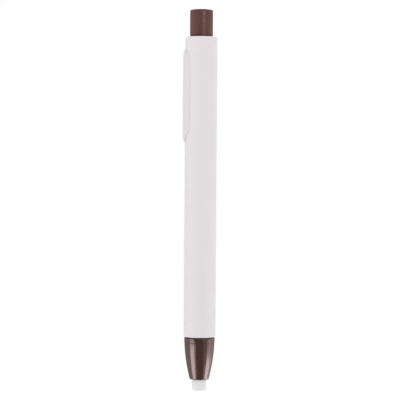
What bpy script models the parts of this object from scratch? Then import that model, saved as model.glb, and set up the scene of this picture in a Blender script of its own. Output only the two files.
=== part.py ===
"""Click eraser pen: a barrel with a clip, a push button, a nose cone and a clutch that feeds an eraser.

Metres, +Z up. The eraser's rubbing face is at the origin, and the pen stands on its axis above it with
the button on top. The clip is on the -X side. Every round piece is turned about the Z axis.
"""

import math

import bmesh
import bpy
from mathutils import Matrix, Vector

MM = 0.001

# Clearances
TOUCH_GAP = 0.3 * MM          # between faces that rest on each other
SLIDE_GAP = 0.25 * MM         # round a piece that slides in a bore
FIT_GAP = 0.2 * MM            # round a piece that is pressed or plugged in
CLAMP_GAP = 0.2 * MM          # between the eraser and what grips it
LOOSE_GAP = 0.35 * MM         # between the eraser and the tube round it

# Eraser refill
ERASER_RADIUS = 2.5 * MM
ERASER_LENGTH = 90.0 * MM
ERASER_STICKOUT = 3.9 * MM
ERASER_EDGE = 0.3 * MM

# Button and the tube below it
BUTTON_TRAVEL = 4.0 * MM
BUTTON_PROUD = 9.7 * MM       # how far it stands out of the barrel
BUTTON_IN_BARREL = 7.6 * MM
BUTTON_WALL = 0.45 * MM
BUTTON_TOP_THICKNESS = 4.0 * MM
BUTTON_TOP_FLAT = 2.4 * MM    # radius of the flat middle of its top
BUTTON_DOME = 0.25 * MM       # fall from that flat to the rounded edge
BUTTON_EDGE = 0.7 * MM
BUTTON_GROOVE_RAISE = 0.15 * MM   # from the barrel's top to the groove round its foot
BUTTON_GROOVE_WIDTH = 0.6 * MM
BUTTON_GROOVE_DEPTH = 0.15 * MM
TUBE_WALL = 0.55 * MM

# Chuck: body, jaws and ring
CHUCK_WALL = 0.55 * MM
CHUCK_CUP_DEPTH = 4.8 * MM
CHUCK_CUP_FLOOR = 1.2 * MM
JAW_COUNT = 3
JAW_SLIT = 0.8 * MM
JAW_TIP_BELOW_RING = 2.2 * MM
JAW_OPEN_DEG = 1.5
JAW_ROOT_ABOVE_LEDGE = 0.7 * MM   # with the button held down
JAW_ROOT_GAP = 0.25 * MM
JAW_TOOTH_PITCH = 0.7 * MM
JAW_TOOTH_DEPTH = 0.12 * MM
JAW_TEETH = 3
HEAD_STEP = 0.1 * MM          # the jaw's head over its neck, at the ring's top
HEAD_SLOPE = 0.1              # how fast the head widens towards the tip
RING_HEIGHT = 3.0 * MM
RING_TRAVEL = 1.2 * MM

# Return spring
SPRING_WIRE = 0.5 * MM
SPRING_LENGTH = 32.1 * MM
SPRING_TURNS = 14
SPRING_END_TURNS = 1.5        # close turns at each end
SPRING_END_PITCH = 1.0 * MM
SPRING_POINTS_PER_TURN = 9

# Nose cone, its guide and its friction ring
NOSE_LENGTH = 14.9 * MM       # without the spigot
NOSE_COLLAR = 1.5 * MM        # straight band next to the barrel
NOSE_COLLAR_STEP = 0.23 * MM  # how much smaller than the barrel it is
NOSE_SHOULDER_STEP = 0.06 * MM    # from the collar down to the long side
NOSE_TIP_WALL = 0.55 * MM
NOSE_BULGE = 0.36 * MM        # how far its side swells out of a straight line
NOSE_RIM = 0.35 * MM
NOSE_GROOVE_WIDTH = 0.24 * MM
NOSE_GROOVE_DEPTH = 0.08 * MM
SPIGOT_LENGTH = 6.2 * MM
SPIGOT_WALL = 0.5 * MM
SEAT_ABOVE_RIM = 4.1 * MM     # floor of the friction ring's seat
SEAT_DEPTH = 5.0 * MM
FRICTION_RING_WALL = 0.55 * MM
FRICTION_RING_HEIGHT = 1.4 * MM
GUIDE_WALL = 0.45 * MM
GUIDE_HEAD_WALL = 1.05 * MM

# Barrel
BARREL_LENGTH = 106.2 * MM
BARREL_WALL = 1.35 * MM
BARREL_TOP_EDGE = 1.0 * MM
BARREL_FOOT_EDGE = 0.12 * MM
LEDGE_THICKNESS = 1.5 * MM

# Clip: a spear-shaped blade that wraps round the barrel at an even distance, and a foot
CLIP_LENGTH = 32.95 * MM
CLIP_BELOW_TOP = 4.6 * MM
CLIP_WIDTH = 5.3 * MM
CLIP_TOP_WIDTH = 0.4 * MM
CLIP_TIP_WIDTH = 0.4 * MM
CLIP_THICKNESS = 0.3 * MM     # along its edges
CLIP_CROWN = 0.25 * MM        # how much thicker it is down its domed middle
CLIP_CROWN_POWER = 2.6        # how flat the dome's middle is
CLIP_CROWN_ROUND = 0.8 * MM   # over which the dome rises at the top
CLIP_TIP_SLOPE = 1.8 * MM     # and at the tip
CLIP_STAND_OFF = 0.35 * MM    # from the barrel
CLIP_EDGE = 0.09 * MM         # bevel along its edges
CLIP_TOP_TAPER = 4.3 * MM     # over which its top widens
CLIP_TIP_TAPER = 4.9 * MM     # over which its tip widens
CLIP_TIP_HOLLOW = 1.4         # how hollow the tip's sides are
CLIP_PAD_DEPTH = 0.1 * MM     # the rubbing pad near its tip
CLIP_PAD_LENGTH = 3.0 * MM
CLIP_PAD_ABOVE_TIP = 5.4 * MM
FOOT_WIDTH = 1.8 * MM
FOOT_HEIGHT = 4.9 * MM
FOOT_BELOW_CLIP_TOP = 1.2 * MM

# How finely round things are cut
ROUND_STEPS = 40
INNER_STEPS = 30
EDGE_STEPS = 3
FINE_EDGE_STEPS = 5
COARSE_EDGE_STEPS = 1
CURVE_STEPS = 8
CLIP_END_STEPS = 7
CLIP_PAD_STEPS = 3
CLIP_INNER_STEPS = 4
CLIP_OUTER_STEPS = 8
SPRING_BEVEL_STEPS = 1
FILLET_SHARE = 0.49           # of an outline's side, at most, for the arc at one end of it
SHARP_DEG = 30.0
TINY = 0.001 * MM

# Radii, worked out from the eraser outwards
JAW_BORE = ERASER_RADIUS + CLAMP_GAP
CHUCK_RADIUS = JAW_BORE + CHUCK_WALL
TUBE_BORE = ERASER_RADIUS + LOOSE_GAP
TUBE_RADIUS = TUBE_BORE + TUBE_WALL
SOCKET_RADIUS = TUBE_RADIUS + FIT_GAP
SPRING_RADIUS = CHUCK_RADIUS + TOUCH_GAP + SPRING_WIRE / 2
BUTTON_RADIUS = max(SOCKET_RADIUS + BUTTON_WALL, SPRING_RADIUS + SPRING_WIRE / 2)
REAR_BORE = BUTTON_RADIUS + SLIDE_GAP
LEDGE_BORE = CHUCK_RADIUS + TOUCH_GAP

# Heights, worked out from the eraser's face upwards
NOSE_RIM_Z = ERASER_STICKOUT
NOSE_TOP_Z = NOSE_RIM_Z + NOSE_LENGTH
BARREL_FOOT_Z = NOSE_TOP_Z + TOUCH_GAP
BARREL_TOP_Z = BARREL_FOOT_Z + BARREL_LENGTH
SPIGOT_TOP_Z = NOSE_TOP_Z + SPIGOT_LENGTH
RING_FOOT_Z = SPIGOT_TOP_Z + TOUCH_GAP + RING_TRAVEL
RING_TOP_Z = RING_FOOT_Z + RING_HEIGHT
LEDGE_FOOT_Z = RING_TOP_Z + TOUCH_GAP
LEDGE_TOP_Z = LEDGE_FOOT_Z + LEDGE_THICKNESS
JAW_TIP_Z = RING_FOOT_Z - JAW_TIP_BELOW_RING
JAW_ROOT_Z = LEDGE_TOP_Z + BUTTON_TRAVEL + JAW_ROOT_ABOVE_LEDGE
SPRING_FOOT_Z = LEDGE_TOP_Z + TOUCH_GAP
SPRING_TOP_Z = SPRING_FOOT_Z + SPRING_LENGTH
CUP_FOOT_Z = SPRING_TOP_Z + TOUCH_GAP
CUP_FLOOR_Z = CUP_FOOT_Z + CHUCK_CUP_FLOOR
CUP_TOP_Z = CUP_FLOOR_Z + CHUCK_CUP_DEPTH
BUTTON_TOP_Z = BARREL_TOP_Z + BUTTON_PROUD
BUTTON_FOOT_Z = BARREL_TOP_Z - BUTTON_IN_BARREL
BUTTON_CEILING_Z = BUTTON_TOP_Z - BUTTON_TOP_THICKNESS
TUBE_FOOT_Z = CUP_FLOOR_Z + TOUCH_GAP
TUBE_TOP_Z = BUTTON_CEILING_Z - TOUCH_GAP
GUIDE_TOP_Z = JAW_TIP_Z - BUTTON_TRAVEL - TOUCH_GAP
SEAT_FLOOR_Z = NOSE_RIM_Z + SEAT_ABOVE_RIM
SEAT_TOP_Z = SEAT_FLOOR_Z + SEAT_DEPTH
CLIP_TOP_Z = BARREL_TOP_Z - CLIP_BELOW_TOP
CLIP_TIP_Z = CLIP_TOP_Z - CLIP_LENGTH
FOOT_TOP_Z = CLIP_TOP_Z - FOOT_BELOW_CLIP_TOP
FOOT_BOTTOM_Z = FOOT_TOP_Z - FOOT_HEIGHT
BUTTON_GROOVE_Z = BARREL_TOP_Z + BUTTON_GROOVE_RAISE

# Radii of the clutch and the nose, from the jaws outwards
HEAD_TOP_RADIUS = CHUCK_RADIUS + HEAD_STEP
HEAD_RADIUS = HEAD_TOP_RADIUS + HEAD_SLOPE * RING_HEIGHT
JAW_LENGTH = JAW_ROOT_Z - JAW_TIP_Z
HEAD_OPEN_RADIUS = HEAD_RADIUS + JAW_LENGTH * math.sin(math.radians(JAW_OPEN_DEG))
SPIGOT_BORE = HEAD_OPEN_RADIUS + FIT_GAP / 2
SPIGOT_RADIUS = SPIGOT_BORE + SPIGOT_WALL
FRONT_BORE = SPIGOT_RADIUS + TOUCH_GAP
BARREL_RADIUS = max(REAR_BORE + BARREL_WALL, FRONT_BORE + BARREL_WALL / 2)
NOSE_RADIUS = BARREL_RADIUS - NOSE_COLLAR_STEP
NOSE_SIDE_RADIUS = NOSE_RADIUS - NOSE_SHOULDER_STEP
NOSE_BORE = ERASER_RADIUS + TOUCH_GAP
FRICTION_RING_RADIUS = ERASER_RADIUS + CLAMP_GAP + FRICTION_RING_WALL
SEAT_RADIUS = FRICTION_RING_RADIUS + SLIDE_GAP
GUIDE_RADIUS = FRICTION_RING_RADIUS
GUIDE_HEAD_RADIUS = min(NOSE_BORE + GUIDE_HEAD_WALL, SPIGOT_BORE - FIT_GAP)
HINGE_RADIUS = (JAW_BORE + CHUCK_RADIUS) / 2
CLIP_INNER_RADIUS = BARREL_RADIUS + CLIP_STAND_OFF


def clear_scene():
    for item in list(bpy.data.objects):
        bpy.data.objects.remove(item, do_unlink=True)


def material(name, colour, roughness, metallic=0.0):
    made = bpy.data.materials.new(name)
    made.use_nodes = True
    shader = made.node_tree.nodes["Principled BSDF"]
    shader.inputs["Base Color"].default_value = (*colour, 1.0)
    shader.inputs["Roughness"].default_value = roughness
    shader.inputs["Metallic"].default_value = metallic
    made.diffuse_color = (*colour, 1.0)
    return made


def rounded(corners, steps=EDGE_STEPS):
    """Outline points (radius, z), with an arc where a corner gives a third value, its fillet radius."""
    points = []
    count = len(corners)
    for index, corner in enumerate(corners):
        here = Vector(corner[:2])
        fillet = corner[2] if len(corner) > 2 else 0.0
        if fillet <= 0.0:
            points.append(here)
            continue
        before = Vector(corners[index - 1][:2]) - here
        after = Vector(corners[(index + 1) % count][:2]) - here
        half_angle = before.angle(after) / 2
        reach = min(
            fillet / math.tan(half_angle), FILLET_SHARE * before.length, FILLET_SHARE * after.length)
        radius = reach * math.tan(half_angle)
        middle = here + (before.normalized() + after.normalized()).normalized() * (
            radius / math.sin(half_angle))
        start = here + before.normalized() * reach - middle
        end = here + after.normalized() * reach - middle
        sweep = math.pi - 2 * half_angle
        turn = 1.0 if start.x * end.y - start.y * end.x > 0.0 else -1.0
        for step in range(steps + 1):
            angle = turn * sweep * step / steps
            points.append(middle + Vector((
                start.x * math.cos(angle) - start.y * math.sin(angle),
                start.x * math.sin(angle) + start.y * math.cos(angle))))
    return [(point.x, point.y) for point in points]


def bulged(start, end, bulge, steps=CURVE_STEPS):
    """Points between start and end on an arc that stands out by bulge, towards a larger radius."""
    first = Vector(start)
    last = Vector(end)
    chord = last - first
    outward = Vector((chord.y, -chord.x)).normalized()
    if outward.x < 0.0:
        outward.negate()
    half = chord.length / 2
    radius = (half * half + bulge * bulge) / (2 * bulge)
    centre = (first + last) / 2 - outward * (radius - bulge)
    spread = math.asin(half / radius)
    along = chord.normalized()
    points = []
    for step in range(1, steps):
        angle = spread * (2 * step / steps - 1)
        point = centre + outward * (radius * math.cos(angle)) + along * (radius * math.sin(angle))
        points.append((point.x, point.y))
    return points


def finish_mesh(work, name, paint):
    """Turns a bmesh into an object with smooth round sides and sharp edges."""
    bmesh.ops.remove_doubles(work, verts=work.verts, dist=TINY)
    bmesh.ops.dissolve_degenerate(work, edges=work.edges, dist=TINY / 10)
    bmesh.ops.recalc_face_normals(work, faces=work.faces)
    mesh = bpy.data.meshes.new(name)
    work.to_mesh(mesh)
    work.free()
    mesh.shade_smooth()
    mesh.set_sharp_from_angle(angle=math.radians(SHARP_DEG))
    mesh.materials.append(paint)
    piece = bpy.data.objects.new(name, mesh)
    bpy.context.scene.collection.objects.link(piece)
    return piece


def turned(name, outline, paint, steps=ROUND_STEPS, sweep=2 * math.pi, start=0.0):
    """Spins a closed outline of (radius, z) points about the Z axis, all round or by a part turn."""
    work = bmesh.new()
    ring = [work.verts.new((radius, 0.0, height)) for radius, height in outline]
    edges = [work.edges.new((ring[index - 1], ring[index])) for index in range(len(ring))]
    bmesh.ops.rotate(work, verts=ring, cent=(0, 0, 0), matrix=Matrix.Rotation(start, 3, "Z"))
    whole = sweep >= 2 * math.pi
    spun = bmesh.ops.spin(
        work, geom=ring + edges, cent=(0, 0, 0), axis=(0, 0, 1), angle=sweep, steps=steps,
        use_merge=whole, use_duplicate=False)
    if not whole:
        last = [item for item in spun["geom_last"] if isinstance(item, bmesh.types.BMEdge)]
        bmesh.ops.triangle_fill(work, edges=edges, use_beauty=True)
        bmesh.ops.triangle_fill(work, edges=last, use_beauty=True)
    return finish_mesh(work, name, paint)


def box(name, low, high, paint):
    """A plain closed box, for the clip's foot and for cutting its slot."""
    work = bmesh.new()
    bmesh.ops.create_cube(work, size=1.0)
    size = Vector(high) - Vector(low)
    bmesh.ops.scale(work, vec=size, verts=work.verts)
    bmesh.ops.translate(work, vec=(Vector(high) + Vector(low)) / 2, verts=work.verts)
    return finish_mesh(work, name, paint)


def boolean(piece, other, operation):
    """Cuts or joins, and leaves the other object as a wire guide that isn't a piece."""
    other.hide_render = True
    other.display_type = "WIRE"
    cut = piece.modifiers.new(operation.lower() + "_" + other.name, "BOOLEAN")
    cut.operation = operation
    cut.solver = "EXACT"
    cut.object = other


def put_origin(piece, place):
    """Moves a piece's origin to a place on its joint's axis, and leaves its shape where it is."""
    piece.data.transform(Matrix.Translation(-Vector(place)))
    piece.location = place


def make_eraser(paint):
    outline = rounded([
        (0.0, 0.0),
        (ERASER_RADIUS, 0.0, ERASER_EDGE),
        (ERASER_RADIUS, ERASER_LENGTH, ERASER_EDGE / 2),
        (0.0, ERASER_LENGTH)])
    return turned("eraser_stick", outline, paint)


def make_nose(paint):
    side_top_z = NOSE_TOP_Z - NOSE_COLLAR - NOSE_GROOVE_WIDTH
    rim_radius = NOSE_BORE + NOSE_TIP_WALL
    side_foot = (rim_radius + NOSE_RIM / 4, NOSE_RIM_Z + NOSE_RIM)
    side_top = (NOSE_SIDE_RADIUS, side_top_z)
    groove_radius = NOSE_SIDE_RADIUS - NOSE_GROOVE_DEPTH
    corners = [
        (NOSE_BORE, NOSE_RIM_Z, NOSE_RIM / 3),
        (rim_radius, NOSE_RIM_Z, NOSE_RIM),
        side_foot]
    corners += bulged(side_foot, side_top, NOSE_BULGE)
    corners += [
        side_top,
        (groove_radius, side_top_z + NOSE_GROOVE_WIDTH / 3),
        (groove_radius, side_top_z + NOSE_GROOVE_WIDTH * 2 / 3),
        (NOSE_RADIUS, side_top_z + NOSE_GROOVE_WIDTH),
        (NOSE_RADIUS, NOSE_TOP_Z, BARREL_FOOT_EDGE),
        (SPIGOT_RADIUS, NOSE_TOP_Z),
        (SPIGOT_RADIUS, SPIGOT_TOP_Z, SPIGOT_WALL / 3),
        (SPIGOT_BORE, SPIGOT_TOP_Z, SPIGOT_WALL / 3),
        (SPIGOT_BORE, SEAT_TOP_Z),
        (SEAT_RADIUS, SEAT_TOP_Z),
        (SEAT_RADIUS, SEAT_FLOOR_Z),
        (NOSE_BORE, SEAT_FLOOR_Z)]
    return turned("nose_cone", rounded(corners), paint)


def make_friction_ring(paint):
    foot = SEAT_FLOOR_Z + TOUCH_GAP
    outline = rounded([
        (ERASER_RADIUS + CLAMP_GAP, foot, FRICTION_RING_WALL / 3),
        (FRICTION_RING_RADIUS, foot, FRICTION_RING_WALL / 3),
        (FRICTION_RING_RADIUS, foot + FRICTION_RING_HEIGHT, FRICTION_RING_WALL / 3),
        (ERASER_RADIUS + CLAMP_GAP, foot + FRICTION_RING_HEIGHT, FRICTION_RING_WALL / 3)])
    return turned("tip_friction_ring", outline, paint, INNER_STEPS)


def make_guide(paint):
    foot = SEAT_FLOOR_Z + TOUCH_GAP + FRICTION_RING_HEIGHT + TOUCH_GAP
    shoulder = SEAT_TOP_Z + TOUCH_GAP
    outline = rounded([
        (NOSE_BORE, foot),
        (GUIDE_RADIUS, foot, GUIDE_WALL / 3),
        (GUIDE_RADIUS, shoulder),
        (GUIDE_HEAD_RADIUS, shoulder),
        (GUIDE_HEAD_RADIUS, GUIDE_TOP_Z, GUIDE_WALL / 2),
        (NOSE_BORE, GUIDE_TOP_Z, GUIDE_WALL / 2)], COARSE_EDGE_STEPS)
    return turned("tip_guide", outline, paint, INNER_STEPS)


def make_jaw(index, paint):
    """One gripping finger: a third of a turned collet, with its origin on its own hinge."""
    teeth = []
    for tooth in range(JAW_TEETH):
        valley = JAW_TIP_Z + JAW_TOOTH_PITCH * (tooth + 1)
        teeth += [
            (JAW_BORE, valley + JAW_TOOTH_PITCH / 3),
            (JAW_BORE + JAW_TOOTH_DEPTH, valley),
            (JAW_BORE, valley - JAW_TOOTH_PITCH / 3)]
    teeth.sort(key=lambda point: -point[1])
    neck_z = RING_TOP_Z + HEAD_STEP / HEAD_SLOPE
    outline = rounded([
        (JAW_BORE, JAW_TIP_Z),
        (HEAD_RADIUS, JAW_TIP_Z, HEAD_STEP),
        (HEAD_RADIUS, RING_FOOT_Z),
        (CHUCK_RADIUS, neck_z),
        (CHUCK_RADIUS, JAW_ROOT_Z),
        (JAW_BORE, JAW_ROOT_Z)] + teeth)
    whole = 2 * math.pi / JAW_COUNT
    slit = JAW_SLIT / CHUCK_RADIUS
    middle = math.pi + whole * index
    jaw = turned(
        "chuck_jaw_%d" % (index + 1), outline, paint, INNER_STEPS // JAW_COUNT, whole - slit,
        middle - (whole - slit) / 2)
    put_origin(jaw, (HINGE_RADIUS * math.cos(middle), HINGE_RADIUS * math.sin(middle), JAW_ROOT_Z))
    return jaw


def make_chuck_body(paint):
    outline = rounded([
        (TUBE_BORE, JAW_ROOT_Z + JAW_ROOT_GAP),
        (CHUCK_RADIUS, JAW_ROOT_Z + JAW_ROOT_GAP),
        (CHUCK_RADIUS, CUP_FOOT_Z),
        (BUTTON_RADIUS, CUP_FOOT_Z, CHUCK_WALL / 3),
        (BUTTON_RADIUS, CUP_TOP_Z, CHUCK_WALL / 3),
        (SOCKET_RADIUS, CUP_TOP_Z, CHUCK_WALL / 3),
        (SOCKET_RADIUS, CUP_FLOOR_Z),
        (TUBE_BORE, CUP_FLOOR_Z)], COARSE_EDGE_STEPS)
    return turned("chuck_body", outline, paint, INNER_STEPS)


def make_chuck_ring(paint):
    top_bore = HEAD_TOP_RADIUS + CLAMP_GAP
    foot_bore = HEAD_RADIUS + CLAMP_GAP
    edge = (SPIGOT_RADIUS - foot_bore) / 4
    outline = rounded([
        (foot_bore, RING_FOOT_Z, edge),
        (SPIGOT_RADIUS, RING_FOOT_Z, edge),
        (SPIGOT_RADIUS, RING_TOP_Z, edge),
        (top_bore, RING_TOP_Z, edge)], COARSE_EDGE_STEPS)
    ring = turned("chuck_ring", outline, paint, INNER_STEPS)
    put_origin(ring, (0.0, 0.0, RING_FOOT_Z))
    return ring


def spring_points():
    """Centre line of the coil: close turns at both ends and an even pitch between them."""
    low = SPRING_FOOT_Z + SPRING_WIRE / 2
    high = SPRING_TOP_Z - SPRING_WIRE / 2
    end_rise = SPRING_END_TURNS * SPRING_END_PITCH
    middle_turns = SPRING_TURNS - 2 * SPRING_END_TURNS
    middle_rise = high - low - 2 * end_rise
    points = []
    for step in range(SPRING_TURNS * SPRING_POINTS_PER_TURN + 1):
        turns = step / SPRING_POINTS_PER_TURN
        if turns <= SPRING_END_TURNS:
            height = low + turns * SPRING_END_PITCH
        elif turns >= SPRING_TURNS - SPRING_END_TURNS:
            height = high - (SPRING_TURNS - turns) * SPRING_END_PITCH
        else:
            height = low + end_rise + middle_rise * (turns - SPRING_END_TURNS) / middle_turns
        angle = 2 * math.pi * turns
        points.append(Vector((SPRING_RADIUS * math.cos(angle), SPRING_RADIUS * math.sin(angle), height)))
    return points


def least_gap(points, wire, apart):
    """Least distance between the surfaces of turns that lie at least `apart` points from each other."""
    least = None
    for first in range(len(points) - apart):
        for second in range(first + apart, min(first + 2 * apart + 2, len(points))):
            distance = (points[first] - points[second]).length - wire
            least = distance if least is None else min(least, distance)
    return least


def make_spring(paint):
    points = spring_points()
    line = bpy.data.curves.new("return_spring", "CURVE")
    line.dimensions = "3D"
    line.bevel_depth = SPRING_WIRE / 2
    line.bevel_resolution = SPRING_BEVEL_STEPS
    line.use_fill_caps = True
    spline = line.splines.new("POLY")
    spline.points.add(len(points) - 1)
    for point, place in zip(spline.points, points):
        point.co = (*place, 1.0)
    line.materials.append(paint)
    spring = bpy.data.objects.new("return_spring", line)
    bpy.context.scene.collection.objects.link(spring)
    gap = least_gap(points, SPRING_WIRE, SPRING_POINTS_PER_TURN // 2)
    print("return_spring least gap to itself: %.2f mm" % (gap / MM))
    return spring


def make_tube(paint):
    outline = rounded([
        (TUBE_BORE, TUBE_FOOT_Z),
        (TUBE_RADIUS, TUBE_FOOT_Z, TUBE_WALL / 4),
        (TUBE_RADIUS, TUBE_TOP_Z, TUBE_WALL / 4),
        (TUBE_BORE, TUBE_TOP_Z)], COARSE_EDGE_STEPS)
    return turned("eraser_tube", outline, paint, INNER_STEPS)


def make_button(paint):
    dome_radius = BUTTON_RADIUS - BUTTON_EDGE / 4
    dome_z = BUTTON_TOP_Z - BUTTON_DOME
    groove_radius = BUTTON_RADIUS - BUTTON_GROOVE_DEPTH
    outline = rounded([
        (0.0, BUTTON_CEILING_Z),
        (SOCKET_RADIUS, BUTTON_CEILING_Z),
        (SOCKET_RADIUS, BUTTON_FOOT_Z, BUTTON_WALL / 4),
        (BUTTON_RADIUS, BUTTON_FOOT_Z, BUTTON_WALL / 4),
        (BUTTON_RADIUS, BUTTON_GROOVE_Z),
        (groove_radius, BUTTON_GROOVE_Z),
        (groove_radius, BUTTON_GROOVE_Z + BUTTON_GROOVE_WIDTH),
        (BUTTON_RADIUS, BUTTON_GROOVE_Z + BUTTON_GROOVE_WIDTH),
        (BUTTON_RADIUS, dome_z - BUTTON_EDGE / 2, BUTTON_EDGE),
        (dome_radius, dome_z, BUTTON_EDGE),
        (min(BUTTON_TOP_FLAT, dome_radius), BUTTON_TOP_Z),
        (0.0, BUTTON_TOP_Z)])
    button = turned("push_button", outline, paint)
    put_origin(button, (0.0, 0.0, BUTTON_FOOT_Z))
    return button


def make_barrel(paint):
    outline = rounded([
        (FRONT_BORE, BARREL_FOOT_Z),
        (BARREL_RADIUS, BARREL_FOOT_Z, BARREL_FOOT_EDGE),
        (BARREL_RADIUS, BARREL_TOP_Z, BARREL_TOP_EDGE),
        (REAR_BORE, BARREL_TOP_Z, BARREL_FOOT_EDGE),
        (REAR_BORE, LEDGE_TOP_Z),
        (LEDGE_BORE, LEDGE_TOP_Z),
        (LEDGE_BORE, LEDGE_FOOT_Z),
        (FRONT_BORE, LEDGE_FOOT_Z)], FINE_EDGE_STEPS)
    barrel = turned("barrel", outline, paint)
    slot = box(
        "clip_slot_guide",
        (-(BARREL_RADIUS + BARREL_WALL), -FOOT_WIDTH / 2 - SLIDE_GAP, FOOT_BOTTOM_Z - SLIDE_GAP),
        (-(REAR_BORE - BARREL_WALL), FOOT_WIDTH / 2 + SLIDE_GAP, FOOT_TOP_Z + SLIDE_GAP),
        paint)
    boolean(barrel, slot, "DIFFERENCE")
    return barrel


def ellipse_share(distance, length):
    """Goes from 0 at an end to 1 once distance reaches length, along a quarter of an ellipse."""
    share = min(max(distance / length, 0.0), 1.0)
    return math.sqrt(max(0.0, 1.0 - (1.0 - share) ** 2))


def sine_share(distance, length):
    """Goes from 0 at an end to 1 once distance reaches length, along a quarter of a sine wave."""
    return math.sin(math.pi / 2 * min(1.0, distance / length))


def on_arc(radius, angle):
    """Point (x, y) on a circle round the pen's axis, with angle 0 in the middle of the clip."""
    return (-radius * math.cos(angle), radius * math.sin(angle))


def wave(distance, length):
    """Falls smoothly from 1 where distance is 0 to 0 once it reaches length."""
    return (1.0 + math.cos(math.pi * min(1.0, abs(distance) / length))) / 2


def clip_section(height):
    """Closed outline (x, y) of the clip's blade at a height, with its inner side first."""
    from_top = CLIP_TOP_Z - height
    from_tip = height - CLIP_TIP_Z
    top_share = sine_share(from_top, CLIP_TOP_TAPER)
    tip_share = min(1.0, from_tip / CLIP_TIP_TAPER) ** CLIP_TIP_HOLLOW
    half_width = min(
        CLIP_TOP_WIDTH + (CLIP_WIDTH - CLIP_TOP_WIDTH) * top_share,
        CLIP_TIP_WIDTH + (CLIP_WIDTH - CLIP_TIP_WIDTH) * tip_share) / 2
    crown = CLIP_CROWN * min(
        ellipse_share(from_top, CLIP_CROWN_ROUND), sine_share(from_tip, CLIP_TIP_SLOPE))
    inner = CLIP_INNER_RADIUS - CLIP_PAD_DEPTH * wave(from_tip - CLIP_PAD_ABOVE_TIP, CLIP_PAD_LENGTH)
    outer = CLIP_INNER_RADIUS + CLIP_THICKNESS
    side_angle = math.asin(half_width / outer)
    face_angle = side_angle - CLIP_EDGE / outer
    section = []
    for step in range(CLIP_INNER_STEPS + 1):
        section.append(on_arc(inner, face_angle * (2 * step / CLIP_INNER_STEPS - 1)))
    section.append(on_arc(inner + CLIP_EDGE, side_angle))
    section.append(on_arc(outer - CLIP_EDGE, side_angle))
    for step in range(CLIP_OUTER_STEPS + 1):
        side = 1 - 2 * step / CLIP_OUTER_STEPS
        dome = crown * (1.0 - abs(side) ** CLIP_CROWN_POWER)
        section.append(on_arc(outer + dome, face_angle * side))
    section.append(on_arc(outer - CLIP_EDGE, -side_angle))
    section.append(on_arc(inner + CLIP_EDGE, -side_angle))
    return section


def clip_heights():
    """Heights of the clip's sections: close together at its rounded ends and round its pad."""
    heights = []
    for step in range(CLIP_END_STEPS + 1):
        fall = 1.0 - math.cos(math.pi / 2 * step / CLIP_END_STEPS)
        heights.append(CLIP_TIP_Z + CLIP_TIP_TAPER * fall)
        heights.append(CLIP_TOP_Z - CLIP_TOP_TAPER * fall)
    pad_foot = max(CLIP_TIP_TAPER, CLIP_PAD_ABOVE_TIP)
    for step in range(CLIP_PAD_STEPS):
        heights.append(CLIP_TIP_Z + pad_foot + CLIP_PAD_LENGTH * (step + 1) / CLIP_PAD_STEPS)
    return sorted(heights)


def make_clip(paint):
    work = bmesh.new()
    rings = []
    for height in clip_heights():
        rings.append([work.verts.new((x, y, height)) for x, y in clip_section(height)])
    for lower, upper in zip(rings, rings[1:]):
        for index in range(len(lower)):
            work.faces.new((lower[index - 1], lower[index], upper[index], upper[index - 1]))
    work.faces.new(rings[0])
    work.faces.new(rings[-1])
    clip = finish_mesh(work, "clip", paint)
    foot = box(
        "clip_foot_guide",
        (-(CLIP_INNER_RADIUS + CLIP_THICKNESS / 2), -FOOT_WIDTH / 2, FOOT_BOTTOM_Z),
        (-(REAR_BORE + SLIDE_GAP), FOOT_WIDTH / 2, FOOT_TOP_Z),
        paint)
    boolean(clip, foot, "UNION")
    hinge = (-(REAR_BORE + BARREL_RADIUS) / 2, 0.0, FOOT_TOP_Z)
    put_origin(clip, hinge)
    return clip


def main():
    clear_scene()
    white = material("barrel_white_plastic", (0.75, 0.72, 0.73), 0.5)
    clip_white = material("clip_white_plastic", (0.73, 0.71, 0.71), 0.45)
    button_brown = material("button_brown_plastic", (0.115, 0.06, 0.05), 0.4)
    nose_brown = material("nose_gloss_brown", (0.055, 0.03, 0.022), 0.12)
    eraser_white = material("eraser_white_rubber", (0.74, 0.74, 0.74), 0.85)
    natural = material("inner_natural_plastic", (0.6, 0.61, 0.6), 0.4)
    brass = material("ring_brass", (0.62, 0.45, 0.18), 0.3, 1.0)
    steel = material("spring_steel", (0.55, 0.56, 0.58), 0.28, 1.0)
    rubber = material("friction_ring_rubber", (0.03, 0.03, 0.03), 0.8)
    make_barrel(white)
    make_clip(clip_white)
    make_button(button_brown)
    make_tube(natural)
    make_chuck_body(natural)
    for index in range(JAW_COUNT):
        make_jaw(index, natural)
    make_chuck_ring(brass)
    make_spring(steel)
    make_nose(nose_brown)
    make_guide(natural)
    make_friction_ring(rubber)
    make_eraser(eraser_white)


main()
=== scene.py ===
"""Looks of the click eraser pen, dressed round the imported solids.

Lengths are in metres in the frame's own axes: the eraser's rubbing face is at the origin, the pen stands
along +Z with the button on top, and the clip is on the -X side.
"""

import math

import bmesh
import bpy
from mathutils import Matrix, Vector


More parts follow.
